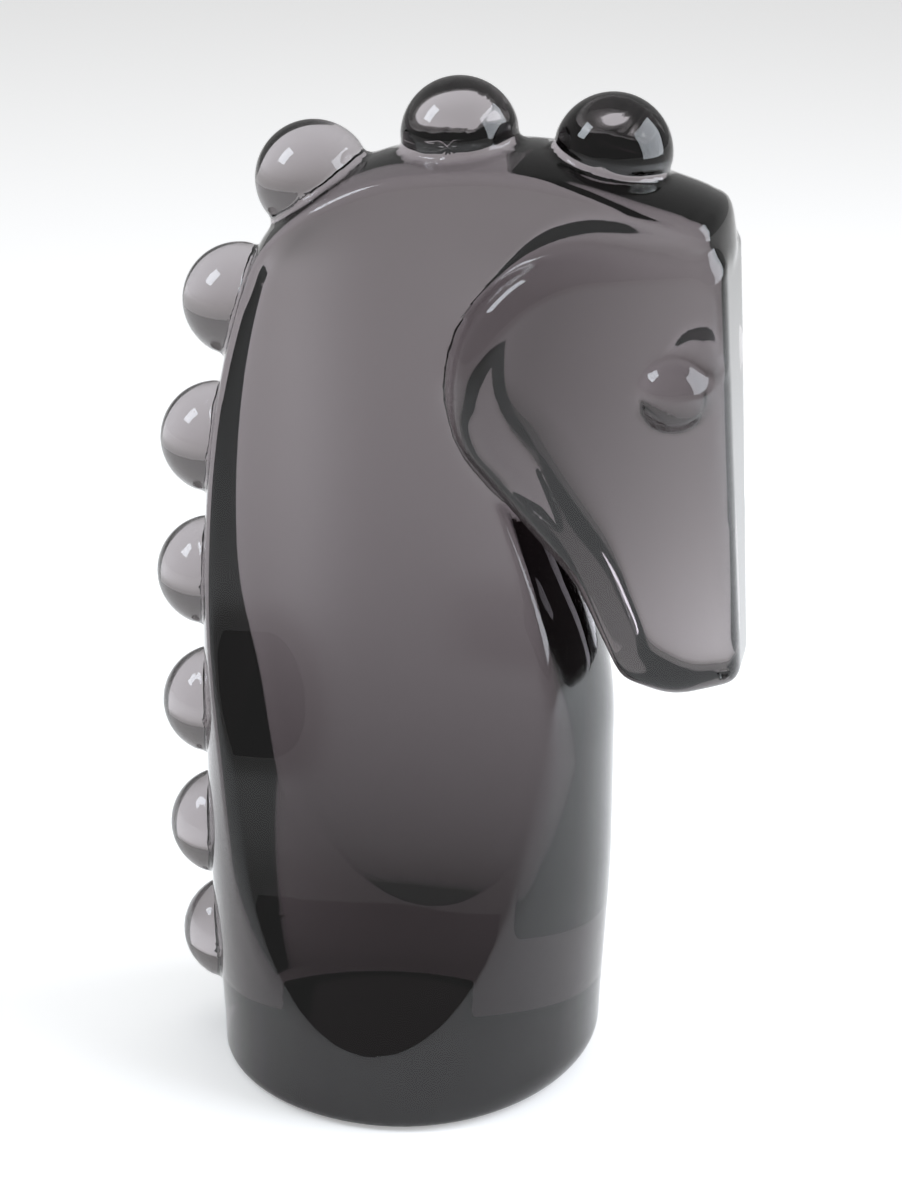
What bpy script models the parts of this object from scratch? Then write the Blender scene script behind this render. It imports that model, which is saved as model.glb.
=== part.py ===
"""Horse bust cast in one piece of smoke grey acrylic.

Frame: origin at the centre of the round foot, on the underside. +X is where the horse looks,
+Z is up, and the casting is a mirror image of itself across the X-Z plane. Sizes in metres.
"""
import math

import bmesh
import bpy
from mathutils import Vector

# Whole casting: the pose and the lines of the free form below are shares of this height
HEIGHT = 0.330

# Round foot and neck column
FOOT_RADIUS = 0.0637            # where the sides start, just above the underside
WAIST_RADIUS = 0.0670           # the column swells a little on its way up
WAIST_Z = 0.080
FRONT_ROUNDING = 0.0120         # rounding of the foot's lower edge under the chin
BACK_ROUNDING = 0.0040          # the same edge under the mane
THROAT_SET_BACK = 0.0165        # how far the neck's front lies back inside the brow
THROAT_X = 0.0670               # foot of the throat, where the neck's front starts to lean back
THROAT_Z = 0.1440
THROAT_LEAN = 0.42              # how far it leans back for each unit that it rises
THROAT_BLEND = 0.0100           # softness of that bend
THROAT_TOP = 0.2050             # from here up it comes forward again, inside the head
THROAT_DENT = 0.0020            # how much thinner the neck gets beside the jaw

# Scooped flats on both sides of the neck
FLAT_START = 0.0270             # height of the lowest point of each flat
FLAT_FALL = 0.1060              # rise over which the flat gets most of its depth
CREST_HALF = 0.0240             # half thickness that the neck narrows towards at the crest

# Head, wide at the cheeks, narrower at the eyes and narrowest at the muzzle
CHEEK_HALF = 0.0450
FACE_HALF = 0.0245
MUZZLE_HALF = 0.0163
CHEEK_X = 0.0150
FACE_X = 0.1080
CHIN_Z = 0.1450
HEAD_EDGE = 0.0080              # rounding along the muzzle and the face
CHEEK_EDGE = 0.0140             # the same at the back of the cheek
BROW_BLEND = 0.0060             # how softly the neck's flat runs into the forehead

# Mane beads, a row of equal half balls along the crest
BEADS = 9
BEAD_RADIUS = 0.0182
LOW_BEAD_Z = 0.0334             # centre of the lowest bead above the underside
TOP_BEAD_X = 0.0650             # centre of the forelock bead ahead of the foot's axis
LOW_BEAD_SINK = 0.0035          # the lowest bead sits this deep in the back
TOP_BEAD_LIFT = 0.0014          # the forelock bead stands this far proud of the crest
BEAD_CLOSING = 1.05             # above 1 the beads close up towards the foot

# Eyes, raised as round buttons, and nostrils, round dimples; the same on both sides
EYE_RADIUS = 0.0112
EYE_RISE = 0.0065
EYE_X = 0.0872
EYE_Z = 0.2420
NOSTRIL_RADIUS = 0.0024
NOSTRIL_DEPTH = 0.0018
NOSTRIL_X = 0.1046
NOSTRIL_Z = 0.1490

# Fineness of the faceted solid
DOME_STEPS = 8
FLAT_STEPS = 6
FOOT_STEPS = 5
COLUMN_STEPS = 24
CREST_STEPS = 26
BROW_STEPS = 3
HEAD_STEPS = 60
EDGE_STEPS = 4
CHEEK_STEPS = 5
BEAD_SEGMENTS = 20
BEAD_RINGS = 10

# Line of the crest and forehead as shares of the height: forwards, up
CREST_LINE = [
    (-0.1570, 0.7950), (-0.1330, 0.8500), (-0.0850, 0.8980), (-0.0200, 0.9290), (0.0500, 0.9410),
    (0.1220, 0.9425), (0.1850, 0.9330), (0.2450, 0.9160), (0.2820, 0.9030), (0.3010, 0.8880),
    (0.3085, 0.8450),
]
CREST_MIDDLE = (0.0600, CREST_LINE[0][1])
BACK_LEAN_Z = 0.3600            # where the back starts to lean forwards

# Corners of the head seen from the side, as shares of the height, each with its rounding
HEAD_CORNERS = [
    (0.3050, 0.8670, 0.018), (0.3300, 0.4370, 0.015), (0.2690, 0.4215, 0.060), (0.2210, 0.4400, 0.030),
    (0.1770, 0.5390, 0.200), (0.0580, 0.6850, 0.091), (0.0590, 0.8670, 0.135),
]
HEAD_MIDDLE = (0.2000, 0.6700)


def clear_scene():
    """Removes whatever the start file holds."""
    for thing in list(bpy.data.objects):
        bpy.data.objects.remove(thing, do_unlink=True)


def ease(value):
    """0 to 1 with soft ends."""
    value = min(1.0, max(0.0, value))
    return value * value * (3.0 - 2.0 * value)


def crest_point(share):
    """Point of the crest at a share of its length, on a smooth line through its stations."""
    span = min(max(share, 0.0), 1.0) * (len(CREST_LINE) - 1)
    first = min(int(span), len(CREST_LINE) - 2)
    part = span - first
    ends = [max(first - 1, 0), first, first + 1, min(first + 2, len(CREST_LINE) - 1)]
    before, start, stop, after = [Vector(CREST_LINE[index]) for index in ends]
    return 0.5 * HEIGHT * (
        2.0 * start
        + (stop - before) * part
        + (2.0 * before - 5.0 * start + 4.0 * stop - after) * part ** 2
        + (3.0 * start - before - 3.0 * stop + after) * part ** 3
    )


def column_radius(z):
    """Radius of the column before its flats are cut."""
    return FOOT_RADIUS + (WAIST_RADIUS - FOOT_RADIUS) * ease(z / WAIST_Z)


def set_in(z, rounding):
    """How far a rounded lower edge stands in at this height."""
    if z >= rounding:
        return 0.0
    return rounding - math.sqrt(max(0.0, rounding ** 2 - (rounding - z) ** 2))


def back_x(z):
    """Back of the neck, from the foot up to where the crest line takes over."""
    low, high = BACK_LEAN_Z * HEIGHT, CREST_MIDDLE[1] * HEIGHT
    lean = max(0.0, (z - low) / (high - low)) ** 3
    return set_in(z, BACK_ROUNDING) - column_radius(z) + (CREST_LINE[0][0] * HEIGHT + WAIST_RADIUS) * lean


def front_x(z):
    """Front of the neck; it leans back into the throat and comes forward again inside the brow."""
    column = column_radius(z) - set_in(z, FRONT_ROUNDING)
    throat = THROAT_X - (z - THROAT_Z) * THROAT_LEAN
    near = max(0.0, 1.0 - abs(column - throat) / THROAT_BLEND)
    front = min(column, throat) - 0.25 * THROAT_BLEND * near * near
    brow = ease((z - THROAT_TOP) / (CREST_MIDDLE[1] * HEIGHT - THROAT_TOP))
    return front * (1.0 - brow) + (WAIST_RADIUS - THROAT_SET_BACK) * brow


def head_half(x, z):
    """Half thickness of the head."""
    face = MUZZLE_HALF + (FACE_HALF - MUZZLE_HALF) * ease((z - CHIN_Z) / (EYE_Z - CHIN_Z))
    back = max(0.0, (FACE_X - x) / (FACE_X - CHEEK_X))
    return face + (CHEEK_HALF - face) * back ** 1.25


def head_rounding(x):
    """Rounding along the head's rim, softer at the back of the cheek than at the muzzle."""
    back = max(0.0, (FACE_X - x) / (FACE_X - CHEEK_X))
    return HEAD_EDGE + (CHEEK_EDGE - HEAD_EDGE) * back ** 2


def neck_half(x, z):
    """Half thickness between the two flats of the neck."""
    depth = math.exp((FLAT_START - z) / FLAT_FALL)
    scoop = CREST_HALF + (column_radius(FLAT_START) - CREST_HALF) * depth
    wedge = head_half(x, z) + 0.00015 + FOOT_RADIUS * (1.0 - ease((z / HEIGHT - 0.72) / 0.10))
    near = max(0.0, 1.0 - abs(scoop - wedge) / BROW_BLEND)
    side = min(scoop, wedge) - 0.25 * BROW_BLEND * near * near
    under_brow = ease((x - 0.060) / 0.015) * ease((0.854 * HEIGHT - z) / 0.012)
    at_throat = ease((x - 0.005) / 0.035) * ease((z - 0.150) / 0.035) * ease((0.285 - z) / 0.035)
    return side - 0.0012 * under_brow - THROAT_DENT * at_throat


def neck_section(edge, middle, inward):
    """Near half of a section of the neck, from its rim on the crest line to the middle."""
    reach = (middle - edge).length
    along = (middle - edge) / reach
    lean = max(0.5, along.dot(inward))
    bulge = column_radius(edge.y)
    deep = reach if edge.y < FLAT_START else bulge
    depth = 0.006
    for _ in range(12):
        spot = edge + along * (depth / lean)
        share = min(neck_half(spot.x, spot.y) / bulge, 1.0)
        depth = deep * (1.0 - math.sqrt(1.0 - share ** 2))
    points = []
    for step in range(DOME_STEPS):
        angle = math.asin(share) * step / DOME_STEPS
        spot = edge + along * (deep * (1.0 - math.cos(angle)) / lean)
        points.append((spot.x, -bulge * math.sin(angle), spot.y))
    rim = edge + along * (depth / lean)
    for step in range(FLAT_STEPS + 1):
        spot = rim.lerp(middle, step / FLAT_STEPS)
        inside = min((spot - edge).length * lean / deep, 1.0)
        dome = bulge * math.sqrt(1.0 - (1.0 - inside) ** 2)
        points.append((spot.x, -min(neck_half(spot.x, spot.y), dome), spot.y))
    return points


def drawn_in(points, z):
    """Narrows a section of the foot by the rounding of its lower edge."""
    narrow = 1.0 - set_in(z, BACK_ROUNDING) / column_radius(z)
    return [(x, y * narrow, level) for x, y, level in points]


def skin(mesh, rows):
    """Faces between neighbouring rows of points, on both sides of the mirror plane."""
    for side in (1.0, -1.0):
        verts = [[mesh.verts.new((x, side * y, z)) for x, y, z in row] for row in rows]
        for low, high in zip(verts, verts[1:]):
            for index in range(len(low) - 1):
                mesh.faces.new((low[index], low[index + 1], high[index + 1], high[index]))


def finish(mesh, name, material):
    """Turns a bmesh into a named object, merged and facing out."""
    bmesh.ops.remove_doubles(mesh, verts=mesh.verts, dist=0.00002)
    bmesh.ops.recalc_face_normals(mesh, faces=mesh.faces)
    data = bpy.data.meshes.new(name)
    mesh.to_mesh(data)
    mesh.free()
    data.materials.append(material)
    shape = bpy.data.objects.new(name, data)
    bpy.context.scene.collection.objects.link(shape)
    return shape


def make_neck(name, material):
    """Foot, column, scooped flats, crest and forehead."""
    top = Vector(CREST_MIDDLE) * HEIGHT
    levels = [FRONT_ROUNDING * (1.0 - math.cos(0.5 * math.pi * step / FOOT_STEPS))
              for step in range(FOOT_STEPS)]
    levels += [FRONT_ROUNDING, 0.5 * (FRONT_ROUNDING + FLAT_START)]
    levels += [FLAT_START + (top.y - FLAT_START) * (step / COLUMN_STEPS) ** 1.6
               for step in range(COLUMN_STEPS + 1)]
    backs = []
    fronts = []
    for z in levels:
        middle = Vector((top.x * ease((z - FLAT_START) / (top.y - FLAT_START)), z))
        back = neck_section(Vector((back_x(z), z)), middle, Vector((1.0, 0.0)))
        front = neck_section(Vector((front_x(z), z)), middle, Vector((-1.0, 0.0)))
        backs.append(drawn_in(back, z))
        fronts.append(drawn_in(front, z))
    crest = []
    for step in range(1, CREST_STEPS + 1):
        share = step / CREST_STEPS
        along = (crest_point(share + 0.01) - crest_point(share - 0.01)).normalized()
        crest.append(neck_section(crest_point(share), top, Vector((along.y, -along.x))))
    brow_end = Vector((front_x(top.y), top.y))
    for step in range(1, BROW_STEPS):
        edge = crest_point(1.0).lerp(brow_end, step / BROW_STEPS)
        crest.append(neck_section(edge, top, (top - edge).normalized()))
    mesh = bmesh.new()
    skin(mesh, backs + crest + [fronts[-1]])
    skin(mesh, fronts)
    bmesh.ops.remove_doubles(mesh, verts=mesh.verts, dist=0.00002)
    rim = [edge for edge in mesh.edges if edge.is_boundary]
    bmesh.ops.holes_fill(mesh, edges=rim, sides=0)
    return finish(mesh, name, material)


def rounded_outline(corners, steps):
    """Evenly spaced points on a closed outline whose corners are rounded off."""
    path = []
    for index, (x, z, radius) in enumerate(corners):
        corner = Vector((x, z)) * HEIGHT
        before = (Vector(corners[index - 1][:2]) * HEIGHT - corner).normalized()
        after = (Vector(corners[(index + 1) % len(corners)][:2]) * HEIGHT - corner).normalized()
        half = 0.5 * before.angle(after)
        centre = corner + (before + after).normalized() * (radius * HEIGHT / math.sin(half))
        start = corner + before * (radius * HEIGHT / math.tan(half)) - centre
        turn = (corner + after * (radius * HEIGHT / math.tan(half)) - centre).angle_signed(start)
        for step in range(17):
            angle = turn * step / 16
            path.append(centre + Vector((
                start.x * math.cos(angle) - start.y * math.sin(angle),
                start.x * math.sin(angle) + start.y * math.cos(angle),
            )))
    path.append(path[0])
    lengths = [0.0]
    for one, two in zip(path, path[1:]):
        lengths.append(lengths[-1] + (two - one).length)
    points = []
    place = 0
    for step in range(steps):
        target = lengths[-1] * step / steps
        while lengths[place + 1] < target:
            place += 1
        share = (target - lengths[place]) / (lengths[place + 1] - lengths[place])
        points.append(path[place].lerp(path[place + 1], share))
    return points


def make_head(name, material):
    """Cheek, jaw, muzzle and face as one wedge with rounded edges."""
    middle = Vector(HEAD_MIDDLE) * HEIGHT
    rows = []
    for edge in rounded_outline(HEAD_CORNERS, HEAD_STEPS):
        along = (middle - edge).normalized()
        rounding = head_rounding(edge.x)
        row = [(edge.x, 0.0, edge.y)]
        for step in range(EDGE_STEPS + 1):
            angle = 0.5 * math.pi * step / EDGE_STEPS
            spot = edge + along * (rounding * (1.0 - math.cos(angle)))
            row.append((spot.x, rounding * (1.0 - math.sin(angle)) - head_half(spot.x, spot.y), spot.y))
        inner = edge + along * rounding
        for step in range(1, CHEEK_STEPS + 1):
            spot = inner.lerp(middle, step / CHEEK_STEPS)
            row.append((spot.x, -head_half(spot.x, spot.y), spot.y))
        rows.append(row)
    mesh = bmesh.new()
    skin(mesh, rows + [rows[0]])
    return finish(mesh, name, material)


def bead_places():
    """Centres of the beads, evenly spaced along the line of the back and the crest."""
    top = CREST_MIDDLE[1] * HEIGHT
    path = [Vector((back_x(LOW_BEAD_Z + (top - LOW_BEAD_Z) * step / 200),
                    LOW_BEAD_Z + (top - LOW_BEAD_Z) * step / 200)) for step in range(200)]
    path += [crest_point(step / 200) for step in range(201)]
    path = [spot for spot in path if spot.x <= TOP_BEAD_X]
    lengths = [0.0]
    for one, two in zip(path, path[1:]):
        lengths.append(lengths[-1] + (two - one).length)
    places = []
    for bead in range(BEADS):
        share = bead / (BEADS - 1)
        target = lengths[-1] * share ** BEAD_CLOSING
        nearest = min(range(1, len(path) - 1), key=lambda index: abs(lengths[index] - target))
        along = (path[nearest + 1] - path[nearest - 1]).normalized()
        stand = TOP_BEAD_LIFT - (LOW_BEAD_SINK + TOP_BEAD_LIFT) * (1.0 - share) ** 2.2
        places.append(path[nearest] + stand * Vector((-along.y, along.x)))
    return places


def add_ball(x, y, z, radius):
    """A round ball, smooth and in place."""
    bpy.ops.mesh.primitive_uv_sphere_add(
        segments=BEAD_SEGMENTS, ring_count=BEAD_RINGS, radius=radius, location=(x, y, z))
    ball = bpy.context.object
    bpy.ops.object.transform_apply(location=True, rotation=True, scale=True)
    return ball


def combine(body, tool, operation):
    """One exact Boolean step, applied; the tool is used up."""
    step = body.modifiers.new(operation, "BOOLEAN")
    step.operation = operation
    step.solver = "EXACT"
    step.object = tool
    bpy.context.view_layer.objects.active = body
    bpy.ops.object.modifier_apply(modifier=step.name)
    bpy.data.objects.remove(tool, do_unlink=True)


def round_form(x, z, radius, height, side, outside):
    """Ball whose cap has this radius and height, half sunk in one side of the head or hovering on it."""
    ball = 0.5 * (radius ** 2 + height ** 2) / height
    lean = math.atan((head_half(x - 0.001, z) - head_half(x + 0.001, z)) / 0.002)
    out = (ball - height) * (1.0 if outside else -1.0)
    return add_ball(x + out * math.sin(lean), side * (head_half(x, z) + out * math.cos(lean)), z, ball)


def make_acrylic():
    """Smoke grey acrylic, polished."""
    material = bpy.data.materials.new("smoke_acrylic")
    material.use_nodes = True
    shader = material.node_tree.nodes["Principled BSDF"]
    shader.inputs["Base Color"].default_value = (0.075, 0.068, 0.072, 1.0)
    shader.inputs["Roughness"].default_value = 0.03
    shader.inputs["Metallic"].default_value = 0.0
    material.diffuse_color = (0.20, 0.19, 0.20, 1.0)
    return material


def build():
    """The whole casting as one solid."""
    clear_scene()
    acrylic = make_acrylic()
    body = make_neck("horse_bust", acrylic)
    combine(body, make_head("head_form", acrylic), "UNION")
    for place in bead_places():
        combine(body, add_ball(place.x, 0.0, place.y, BEAD_RADIUS), "UNION")
    for side in (-1.0, 1.0):
        eye = round_form(EYE_X, EYE_Z, EYE_RADIUS, EYE_RISE, side, False)
        combine(body, eye, "UNION")
        nostril = round_form(NOSTRIL_X, NOSTRIL_Z, NOSTRIL_RADIUS, NOSTRIL_DEPTH, side, True)
        combine(body, nostril, "DIFFERENCE")
    mesh = bmesh.new()
    mesh.from_mesh(body.data)
    bmesh.ops.remove_doubles(mesh, verts=mesh.verts, dist=0.00005)
    bmesh.ops.dissolve_degenerate(mesh, edges=mesh.edges, dist=0.00005)
    bmesh.ops.triangulate(mesh, faces=mesh.faces)
    mesh.to_mesh(body.data)
    mesh.free()
    body.data.materials.clear()
    body.data.materials.append(acrylic)
    body.data.shade_smooth()


build()
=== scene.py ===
"""Horse bust cast in one piece of smoke grey acrylic, standing on a pale studio floor."""
import math

import bmesh
import bpy
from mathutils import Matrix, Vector, kdtree


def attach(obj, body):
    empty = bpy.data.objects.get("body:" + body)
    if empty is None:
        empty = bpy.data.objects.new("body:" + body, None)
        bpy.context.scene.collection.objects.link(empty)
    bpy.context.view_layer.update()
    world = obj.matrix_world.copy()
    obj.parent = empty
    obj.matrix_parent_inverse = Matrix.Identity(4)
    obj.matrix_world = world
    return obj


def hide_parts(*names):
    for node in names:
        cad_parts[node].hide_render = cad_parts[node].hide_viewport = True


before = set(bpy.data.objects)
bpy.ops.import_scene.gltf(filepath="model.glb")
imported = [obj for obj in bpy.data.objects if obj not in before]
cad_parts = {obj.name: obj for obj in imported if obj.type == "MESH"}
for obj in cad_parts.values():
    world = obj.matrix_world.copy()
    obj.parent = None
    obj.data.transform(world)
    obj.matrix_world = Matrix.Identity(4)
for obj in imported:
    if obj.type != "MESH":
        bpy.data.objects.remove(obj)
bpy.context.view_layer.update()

# Foot, neck and crest of the casting.
# The real one is a solid block of smoke grey acrylic, poured in one mould with the head and the mane, then
# polished all over. The column is round at the foot, and a long flat is scooped out of each side of the neck,
# a little deeper at the throat and along the nape.
HEIGHT = 0.330
FOOT_RADIUS = 0.0637
WAIST_RADIUS = 0.0670
WAIST_Z = 0.080
FRONT_ROUNDING = 0.0120
BACK_ROUNDING = 0.0040
THROAT_SET_BACK = 0.0165
THROAT_FOOT = (0.0670, 0.1440)
THROAT_LEAN = 0.42
THROAT_BLEND = 0.0100
THROAT_DENT = 0.0020
THROAT_TOP = 0.2050
NAPE_HOLLOW = 0.0050
FLAT_START = 0.0270
FLAT_FALL = 0.1060
CREST_HALF = 0.0240
CHEEK_HALF = 0.0450
FACE_HALF = 0.0245
MUZZLE_HALF = 0.0163
CHIN_Z = 0.1450
EYE_Z = 0.2420
CHEEK_X = 0.0150
FACE_X = 0.1080
BROW_BLEND = 0.0060
CREST_LINE = [
    (-0.1570, 0.7950), (-0.1330, 0.8500), (-0.0850, 0.8980), (-0.0200, 0.9290), (0.0500, 0.9410),
    (0.1220, 0.9425), (0.1850, 0.9330), (0.2450, 0.9160), (0.2820, 0.9030), (0.3010, 0.8880),
    (0.3085, 0.8450),
]
CREST_MIDDLE = Vector((0.0600, CREST_LINE[0][1])) * HEIGHT
BACK_LEAN_Z = 0.3600 * HEIGHT
DOME_STEPS = 22
FLAT_STEPS = 26
FOOT_STEPS = 10
COLUMN_STEPS = 140
CREST_STEPS = 110
BROW_STEPS = 12


def ease(value):
    """0 to 1 with soft ends."""
    value = min(1.0, max(0.0, value))
    return value * value * (3.0 - 2.0 * value)


def crest_point(share):
    """Point of the crest at a share of its length, on a smooth line through its stations."""
    span = min(max(share, 0.0), 1.0) * (len(CREST_LINE) - 1)
    first = min(int(span), len(CREST_LINE) - 2)
    part = span - first
    ends = [max(first - 1, 0), first, first + 1, min(first + 2, len(CREST_LINE) - 1)]
    before, start, stop, after = [Vector(CREST_LINE[index]) for index in ends]
    return 0.5 * HEIGHT * (
        2.0 * start
        + (stop - before) * part
        + (2.0 * before - 5.0 * start + 4.0 * stop - after) * part ** 2
        + (3.0 * start - before - 3.0 * stop + after) * part ** 3
    )


def column_radius(z):
    """Radius of the column before its flats are scooped out."""
    return FOOT_RADIUS + (WAIST_RADIUS - FOOT_RADIUS) * ease(z / WAIST_Z)


def set_in(z, rounding):
    """How far a rounded lower edge stands in at this height."""
    if z >= rounding:
        return 0.0
    return rounding - math.sqrt(max(0.0, rounding ** 2 - (rounding - z) ** 2))


def back_x(z):
    """Back of the neck, from the foot up to where the crest takes over."""
    lean = max(0.0, (z - BACK_LEAN_Z) / (CREST_MIDDLE.y - BACK_LEAN_Z)) ** 3
    return set_in(z, BACK_ROUNDING) - column_radius(z) + (CREST_LINE[0][0] * HEIGHT + WAIST_RADIUS) * lean


def front_x(z):
    """Front of the neck; it leans back into the throat and comes forward again inside the brow."""
    column = column_radius(z) - set_in(z, FRONT_ROUNDING)
    throat = THROAT_FOOT[0] - (z - THROAT_FOOT[1]) * THROAT_LEAN
    near = max(0.0, 1.0 - abs(column - throat) / THROAT_BLEND)
    front = min(column, throat) - 0.25 * THROAT_BLEND * near * near
    brow = ease((z - THROAT_TOP) / (CREST_MIDDLE.y - THROAT_TOP))
    return front * (1.0 - brow) + (WAIST_RADIUS - THROAT_SET_BACK) * brow


def head_half(x, z):
    """Half thickness of the head: narrow at the muzzle, wider up at the eyes and back at the cheeks."""
    face = MUZZLE_HALF + (FACE_HALF - MUZZLE_HALF) * ease((z - CHIN_Z) / (EYE_Z - CHIN_Z))
    back = max(0.0, (FACE_X - x) / (FACE_X - CHEEK_X))
    return face + (CHEEK_HALF - face) * back ** 1.25


def neck_half(x, z):
    """Half thickness between the two flats of the neck."""
    depth = math.exp((FLAT_START - z) / FLAT_FALL)
    scoop = CREST_HALF + (column_radius(FLAT_START) - CREST_HALF) * depth
    wedge = head_half(x, z) + 0.00015 + FOOT_RADIUS * (1.0 - ease((z / HEIGHT - 0.72) / 0.10))
    near = max(0.0, 1.0 - abs(scoop - wedge) / BROW_BLEND)
    side = min(scoop, wedge) - 0.25 * BROW_BLEND * near * near
    under_brow = ease((x - 0.060) / 0.015) * ease((0.854 * HEIGHT - z) / 0.012)
    at_throat = ease((x - 0.005) / 0.035) * ease((z - 0.150) / 0.035) * ease((0.285 - z) / 0.035)
    at_nape = ease((-0.008 - x) / 0.030) * ease((z - 0.110) / 0.060) * ease((0.300 - z) / 0.030)
    return side - 0.0012 * under_brow - THROAT_DENT * at_throat - NAPE_HOLLOW * at_nape


def neck_section(edge, middle, inward):
    """Near half of one section of the neck, from its rim on the crest line to the middle."""
    reach = (middle - edge).length
    along = (middle - edge) / reach
    lean = max(0.5, along.dot(inward))
    bulge = column_radius(edge.y)
    deep = reach if edge.y < FLAT_START else bulge
    depth = 0.006
    for _ in range(12):
        spot = edge + along * (depth / lean)
        share = min(neck_half(spot.x, spot.y) / bulge, 1.0)
        depth = deep * (1.0 - math.sqrt(1.0 - share ** 2))
    points = []
    for step in range(DOME_STEPS):
        angle = math.asin(share) * step / DOME_STEPS
        spot = edge + along * (deep * (1.0 - math.cos(angle)) / lean)
        points.append((spot.x, -bulge * math.sin(angle), spot.y))
    rim = edge + along * (depth / lean)
    for step in range(FLAT_STEPS + 1):
        spot = rim.lerp(middle, step / FLAT_STEPS)
        inside = min((spot - edge).length * lean / deep, 1.0)
        dome = bulge * math.sqrt(1.0 - (1.0 - inside) ** 2)
        points.append((spot.x, -min(neck_half(spot.x, spot.y), dome), spot.y))
    return points


def drawn_in(points, z):
    """Narrows a section of the foot by the rounding of its lower edge."""
    narrow = 1.0 - set_in(z, BACK_ROUNDING) / column_radius(z)
    return [(x, y * narrow, level) for x, y, level in points]


def drape_sheet(name, rows):
    """A flat grid drawn over one side of a form, row by row."""
    bpy.ops.object.select_all(action="DESELECT")
    bpy.ops.mesh.primitive_grid_add(
        x_subdivisions=len(rows[0]) - 1, y_subdivisions=len(rows) - 1, size=1.0)
    sheet = bpy.context.object
    sheet.name = name
    sheet.data.vertices.foreach_set("co", [value for row in rows for spot in row for value in spot])
    return sheet


def mirror_and_close(sheet):
    """Adds the other side of a half form, merges the two and closes what is open underneath."""
    bpy.context.view_layer.objects.active = sheet
    other_side = sheet.modifiers.new("other side", "MIRROR")
    other_side.use_axis = (False, True, False)
    other_side.merge_threshold = 0.00002
    bpy.ops.object.modifier_apply(modifier=other_side.name)
    bpy.ops.object.mode_set(mode="EDIT")
    bpy.ops.mesh.select_all(action="SELECT")
    bpy.ops.mesh.remove_doubles(threshold=0.00002)
    bpy.ops.mesh.fill_holes(sides=0)
    bpy.ops.mesh.normals_make_consistent(inside=False)
    bpy.ops.object.mode_set(mode="OBJECT")


levels = [FRONT_ROUNDING * (1.0 - math.cos(0.5 * math.pi * step / FOOT_STEPS)) for step in range(FOOT_STEPS)]
levels += [FRONT_ROUNDING + (FLAT_START - FRONT_ROUNDING) * step / 9 for step in range(9)]
levels += [FLAT_START + (CREST_MIDDLE.y - FLAT_START) * (step / COLUMN_STEPS) ** 1.25
           for step in range(COLUMN_STEPS + 1)]
backs = []
fronts = []
for z in levels:
    middle = Vector((CREST_MIDDLE.x * ease((z - FLAT_START) / (CREST_MIDDLE.y - FLAT_START)), z))
    backs.append(drawn_in(neck_section(Vector((back_x(z), z)), middle, Vector((1.0, 0.0))), z))
    fronts.append(drawn_in(neck_section(Vector((front_x(z), z)), middle, Vector((-1.0, 0.0))), z))
for step in range(1, CREST_STEPS + 1):
    share = step / CREST_STEPS
    along = (crest_point(share + 0.01) - crest_point(share - 0.01)).normalized()
    backs.append(neck_section(crest_point(share), CREST_MIDDLE, Vector((along.y, -along.x))))
brow_end = Vector((front_x(CREST_MIDDLE.y), CREST_MIDDLE.y))
for step in range(1, BROW_STEPS):
    edge = crest_point(1.0).lerp(brow_end, step / BROW_STEPS)
    backs.append(neck_section(edge, CREST_MIDDLE, (CREST_MIDDLE - edge).normalized()))
backs.append(fronts[-1])
bust = drape_sheet("horse_casting", backs)
neck_front = drape_sheet("neck_front", fronts)
bust.select_set(True)
bpy.context.view_layer.objects.active = bust
bpy.ops.object.join()
mirror_and_close(bust)

# Head of the casting, from cheek and jaw to muzzle and face.
# It stands proud of the neck as a wedge with softly rounded edges, wide at the cheek and narrow at the face,
# and it is the same pour as the neck: the two run into each other with a small fillet.
HEAD_EDGE = 0.0080
CHEEK_EDGE = 0.0140
HEAD_CORNERS = [
    (0.3050, 0.8670, 0.018), (0.3300, 0.4370, 0.015), (0.2690, 0.4215, 0.060), (0.2210, 0.4400, 0.030),
    (0.1770, 0.5390, 0.200), (0.0580, 0.6850, 0.091), (0.0590, 0.8670, 0.135),
]
HEAD_MIDDLE = Vector((0.2000, 0.6700)) * HEIGHT
HEAD_STEPS = 300
EDGE_STEPS = 8
CHEEK_STEPS = 28


def head_rounding(x):
    """Rounding along the head's rim, softer at the back of the cheek than at the muzzle."""
    back = max(0.0, (FACE_X - x) / (FACE_X - CHEEK_X))
    return HEAD_EDGE + (CHEEK_EDGE - HEAD_EDGE) * back ** 2


def rounded_outline(corners, steps):
    """Evenly spaced points on a closed outline whose corners are rounded off."""
    path = []
    for index, (x, z, radius) in enumerate(corners):
        corner = Vector((x, z)) * HEIGHT
        before = (Vector(corners[index - 1][:2]) * HEIGHT - corner).normalized()
        after = (Vector(corners[(index + 1) % len(corners)][:2]) * HEIGHT - corner).normalized()
        half = 0.5 * before.angle(after)
        centre = corner + (before + after).normalized() * (radius * HEIGHT / math.sin(half))
        start = corner + before * (radius * HEIGHT / math.tan(half)) - centre
        turn = (corner + after * (radius * HEIGHT / math.tan(half)) - centre).angle_signed(start)
        for step in range(49):
            angle = turn * step / 48
            path.append(centre + Vector((
                start.x * math.cos(angle) - start.y * math.sin(angle),
                start.x * math.sin(angle) + start.y * math.cos(angle),
            )))
    path.append(path[0])
    lengths = [0.0]
    for one, two in zip(path, path[1:]):
        lengths.append(lengths[-1] + (two - one).length)
    points = []
    place = 0
    for step in range(steps):
        target = lengths[-1] * step / steps
        while lengths[place + 1] < target:
            place += 1
        share = (target - lengths[place]) / (lengths[place + 1] - lengths[place])
        points.append(path[place].lerp(path[place + 1], share))
    return points


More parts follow.
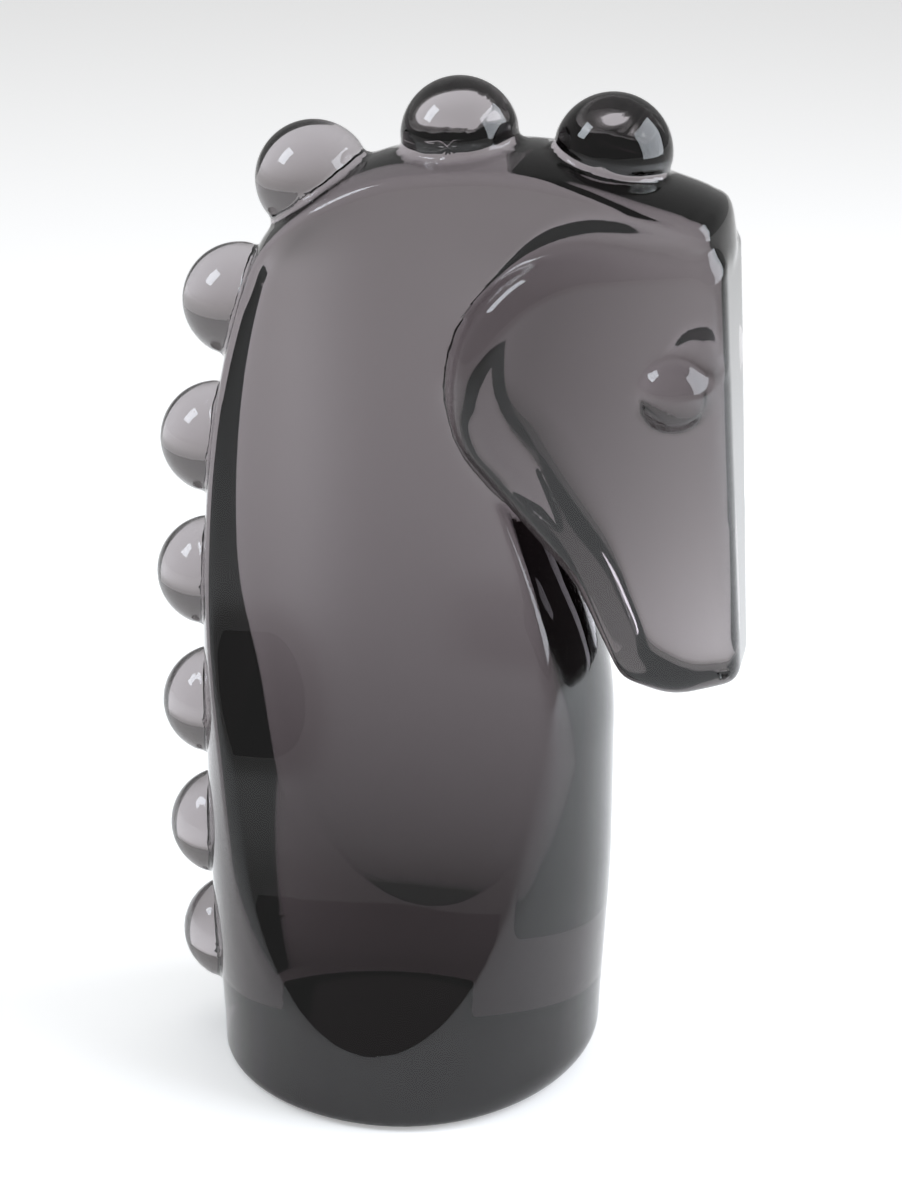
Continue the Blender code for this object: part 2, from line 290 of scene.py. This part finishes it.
rows = []
for edge in rounded_outline(HEAD_CORNERS, HEAD_STEPS):
    along = (HEAD_MIDDLE - edge).normalized()
    row = [(edge.x, 0.0, edge.y)]
    rounding = head_rounding(edge.x)
    rim_half = head_half(edge.x, edge.y) - rounding
    row += [(edge.x, -rim_half * step / 6, edge.y) for step in range(1, 6)]
    for step in range(EDGE_STEPS + 1):
        angle = 0.5 * math.pi * step / EDGE_STEPS
        spot = edge + along * (rounding * (1.0 - math.cos(angle)))
        row.append((spot.x, rounding * (1.0 - math.sin(angle)) - head_half(spot.x, spot.y), spot.y))
    inner = edge + along * rounding
    for step in range(1, CHEEK_STEPS + 1):
        spot = inner.lerp(HEAD_MIDDLE, step / CHEEK_STEPS)
        row.append((spot.x, -head_half(spot.x, spot.y), spot.y))
    rows.append(row)
head = drape_sheet("head_form", rows + [rows[0]])
mirror_and_close(head)

# Mane of nine equal half balls, from just above the foot to the forelock.
# Each stands half proud of the back and the crest, on the mirror plane, with a tight fillet at its root.
BEADS = 9
BEAD_RADIUS = 0.0182
LOW_BEAD_Z = 0.0334
TOP_BEAD_X = 0.0650
LOW_BEAD_SINK = 0.0035
TOP_BEAD_LIFT = 0.0014
BEAD_CLOSING = 1.05

climb = CREST_MIDDLE.y - LOW_BEAD_Z
path = [Vector((back_x(LOW_BEAD_Z + climb * step / 200), LOW_BEAD_Z + climb * step / 200)) for step in range(200)]
path += [crest_point(step / 200) for step in range(201)]
path = [spot for spot in path if spot.x <= TOP_BEAD_X]
lengths = [0.0]
for one, two in zip(path, path[1:]):
    lengths.append(lengths[-1] + (two - one).length)
bpy.ops.object.select_all(action="DESELECT")
beads = []
for bead in range(BEADS):
    share = bead / (BEADS - 1)
    target = lengths[-1] * share ** BEAD_CLOSING
    nearest = min(range(1, len(path) - 1), key=lambda index: abs(lengths[index] - target))
    along = (path[nearest + 1] - path[nearest - 1]).normalized()
    stand = TOP_BEAD_LIFT - (LOW_BEAD_SINK + TOP_BEAD_LIFT) * (1.0 - share) ** 2.2
    place = path[nearest] + stand * Vector((-along.y, along.x))
    bpy.ops.mesh.primitive_uv_sphere_add(
        segments=72, ring_count=36, radius=BEAD_RADIUS, location=(place.x, 0.0, place.y),
        rotation=(0.5 * math.pi, 0.0, 0.0))
    beads.append(bpy.context.object)
for ball in beads:
    ball.select_set(True)
bpy.ops.object.transform_apply(location=True, rotation=True, scale=True)
bpy.ops.object.join()
mane = bpy.context.object

# Eyes and nostrils, alike on both sides.
# Each eye is a low round button that swells out of the side of the head, each nostril a small round dimple
# ground into the rim of the muzzle; both are polished like the rest.
EYE_RADIUS = 0.0112
EYE_RISE = 0.0065
EYE_X = 0.0872
NOSTRIL_RADIUS = 0.0024
NOSTRIL_DEPTH = 0.0018
NOSTRIL_X = 0.1046
NOSTRIL_Z = 0.1490


def paired_balls(x, z, radius, height, outside):
    """Two equal balls, one in each side of the head, whose caps have this radius and height."""
    bpy.ops.object.select_all(action="DESELECT")
    ball = 0.5 * (radius ** 2 + height ** 2) / height
    lean = math.atan((head_half(x - 0.001, z) - head_half(x + 0.001, z)) / 0.002)
    out = (ball - height) * (1.0 if outside else -1.0)
    pair = []
    for side in (-1.0, 1.0):
        bpy.ops.mesh.primitive_uv_sphere_add(
            segments=72, ring_count=36, radius=ball, rotation=(0.5 * math.pi, 0.0, 0.0),
            location=(x + out * math.sin(lean), side * (head_half(x, z) + out * math.cos(lean)), z))
        pair.append(bpy.context.object)
    for part in pair:
        part.select_set(True)
    bpy.ops.object.transform_apply(location=True, rotation=True, scale=True)
    bpy.ops.object.join()
    return bpy.context.object


eyes = paired_balls(EYE_X, EYE_Z, EYE_RADIUS, EYE_RISE, False)
nostrils = paired_balls(NOSTRIL_X, NOSTRIL_Z, NOSTRIL_RADIUS, NOSTRIL_DEPTH, True)

# One casting: head, mane and eyes become one body with the neck, and the nostrils are taken out of it.
# Fillets at the roots of the mane and under the cheek, and the rubbed edges of the flats, come from smoothing
# the mesh along each crease only.
FILLET_REACH = 0.0045
RUBBED_REACH = 0.0020
RIM_REACH = 0.0009


def combine(body, tool, operation):
    """Joins a form to the casting, or takes it out; the tool is used up."""
    step = body.modifiers.new(operation, "BOOLEAN")
    step.operation = operation
    step.solver = "EXACT"
    step.object = tool
    bpy.context.view_layer.objects.active = body
    bpy.ops.object.modifier_apply(modifier=step.name)
    bpy.data.objects.remove(tool, do_unlink=True)


def soften(mesh, creases, reach, passes):
    """Smooths the mesh near the given crease points, most of all right at the crease."""
    tree = kdtree.KDTree(len(creases))
    for index, spot in enumerate(creases):
        tree.insert(spot, index)
    tree.balance()
    near = [(vert, tree.find(vert.co)[2]) for vert in mesh.verts if vert.co.z > 0.001]
    near = [(vert, gap) for vert, gap in near if gap < reach]
    for step in range(passes):
        limit = reach * (1.0 - 0.6 * step / passes)
        band = [vert for vert, gap in near if gap < limit]
        bmesh.ops.smooth_vert(mesh, verts=band, factor=0.5, use_axis_x=True, use_axis_y=True, use_axis_z=True)


combine(bust, head, "UNION")
combine(bust, mane, "UNION")
combine(bust, eyes, "UNION")
combine(bust, nostrils, "DIFFERENCE")
mesh = bmesh.new()
mesh.from_mesh(bust.data)
bmesh.ops.remove_doubles(mesh, verts=mesh.verts, dist=0.00012)
bmesh.ops.dissolve_degenerate(mesh, edges=mesh.edges, dist=0.00005)
roots = []
rims = []
rubbed = []
for edge in mesh.edges:
    if len(edge.link_faces) == 2:
        bend = edge.calc_face_angle_signed(0.0)
        spot = 0.5 * (edge.verts[0].co + edge.verts[1].co)
        in_nostril = (Vector((spot.x, spot.z)) - Vector((NOSTRIL_X, NOSTRIL_Z))).length < 1.5 * NOSTRIL_RADIUS
        if bend > 0.35 and in_nostril:
            rims.append(spot)
        elif bend < -0.30:
            roots.append(spot)
        elif bend > 0.16 and spot.z > 0.020:
            rubbed.append(spot)
soften(mesh, rubbed, RUBBED_REACH, 8)
soften(mesh, roots, FILLET_REACH, 14)
soften(mesh, rims, RIM_REACH, 4)
bmesh.ops.triangulate(mesh, faces=mesh.faces)
mesh.to_mesh(bust.data)
mesh.free()
bust.data.shade_smooth()

# Smoke grey acrylic, clear and polished.
# Its grey is in the depth of the block, so thin parts look pale and the thick foot looks nearly black. The
# polish is high but done by hand: faint ripples bend what is seen in it, and haze comes and goes.
SMOKE_COLOUR = (0.900, 0.8925, 0.8950, 1.0)
SMOKE_DENSITY = 320.0


def add_node(tree, kind, place, **values):
    """A node at a place, with the given values on its sockets or itself."""
    node = tree.nodes.new(kind)
    node.location = place
    for name, value in values.items():
        if name in node.inputs:
            node.inputs[name].default_value = value
        else:
            setattr(node, name, value)
    return node


acrylic = bpy.data.materials.new("smoke_acrylic_polished")
acrylic.use_nodes = True
tree = acrylic.node_tree
shader = tree.nodes["Principled BSDF"]
output = tree.nodes["Material Output"]
shader.inputs["Base Color"].default_value = (1.0, 1.0, 1.0, 1.0)
shader.inputs["Transmission Weight"].default_value = 1.0
shader.inputs["IOR"].default_value = 1.49
smoke = add_node(tree, "ShaderNodeVolumeAbsorption", (0, -400), Color=SMOKE_COLOUR, Density=SMOKE_DENSITY)
tree.links.new(smoke.outputs["Volume"], output.inputs["Volume"])
where = add_node(tree, "ShaderNodeTexCoord", (-1200, 0))
haze = add_node(tree, "ShaderNodeTexNoise", (-900, 100), Scale=38.0, Detail=3.0, Roughness=0.6)
haze_range = add_node(tree, "ShaderNodeMapRange", (-600, 100))
haze_range.inputs["From Min"].default_value = 0.35
haze_range.inputs["From Max"].default_value = 0.75
haze_range.inputs["To Min"].default_value = 0.004
haze_range.inputs["To Max"].default_value = 0.022
tree.links.new(where.outputs["Object"], haze.inputs["Vector"])
tree.links.new(haze.outputs["Fac"], haze_range.inputs["Value"])
tree.links.new(haze_range.outputs["Result"], shader.inputs["Roughness"])
ripple = add_node(tree, "ShaderNodeTexNoise", (-900, -200), Scale=16.0, Detail=1.0, Roughness=0.3)
bump = add_node(tree, "ShaderNodeBump", (-300, -200), Strength=1.0, Distance=0.0004)
tree.links.new(where.outputs["Object"], ripple.inputs["Vector"])
tree.links.new(ripple.outputs["Fac"], bump.inputs["Height"])
tree.links.new(bump.outputs["Normal"], shader.inputs["Normal"])
bust.data.materials.clear()
bust.data.materials.append(acrylic)
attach(bust, "root")
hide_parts("horse_bust")

# Studio: a plain pale floor, a plain pale room, soft lights and the camera of the photograph.
# Floor and room are one even tone each, for everything that sees them; the acrylic does the rest.
bpy.ops.object.select_all(action="DESELECT")
bpy.ops.mesh.primitive_circle_add(vertices=96, radius=30.0, fill_type="NGON", location=(0.0, 0.0, -0.0004))
floor = bpy.context.object
floor.name = "studio_floor"
pale = bpy.data.materials.new("pale_floor")
pale.use_nodes = True
matt = pale.node_tree.nodes["Principled BSDF"]
matt.inputs["Base Color"].default_value = (0.88, 0.88, 0.88, 1.0)
matt.inputs["Roughness"].default_value = 0.8
matt.inputs["Emission Color"].default_value = (1.0, 1.0, 1.0, 1.0)
matt.inputs["Emission Strength"].default_value = 0.30
floor.data.materials.append(pale)

room = bpy.data.worlds.new("studio_room")
bpy.context.scene.world = room
room.use_nodes = True
room.node_tree.nodes["Background"].inputs["Color"].default_value = (0.35, 0.35, 0.35, 1.0)


def soft_light(name, place, aim, width, height, power, colour):
    """A softbox that faces a point."""
    bpy.ops.object.light_add(type="AREA", location=place)
    lamp = bpy.context.object
    lamp.name = name
    lamp.data.shape = "RECTANGLE"
    lamp.data.size = width
    lamp.data.size_y = height
    lamp.data.energy = power
    lamp.data.color = colour
    lamp.rotation_euler = (Vector(aim) - Vector(place)).to_track_quat("-Z", "Y").to_euler()


soft_light("left_softbox", (-1.1, -0.5, 1.3), (0.0, 0.0, 0.2), 0.5, 0.7, 10.0, (0.86, 0.93, 1.0))
soft_light("right_softbox", (0.95, 0.05, 0.62), (0.05, 0.0, 0.2), 1.0, 0.9, 16.0, (0.88, 0.93, 1.0))
soft_light("top_softbox", (0.0, 0.4, 2.4), (0.0, 0.1, 0.1), 2.2, 2.2, 20.0, (1.0, 0.99, 0.97))
bpy.context.object.visible_glossy = False
bpy.context.object.visible_transmission = False

bpy.ops.object.camera_add(location=(0.1915, -0.8371, 0.4889))
camera = bpy.context.object
aim = Vector((0.0136, 0.0, 0.1604))
camera.rotation_euler = (aim - camera.location).to_track_quat("-Z", "Y").to_euler()
camera.data.sensor_fit = "VERTICAL"
camera.data.sensor_height = 36.0
camera.data.lens = 85.06
bpy.context.scene.camera = camera
bpy.context.scene.view_settings.view_transform = "Standard"
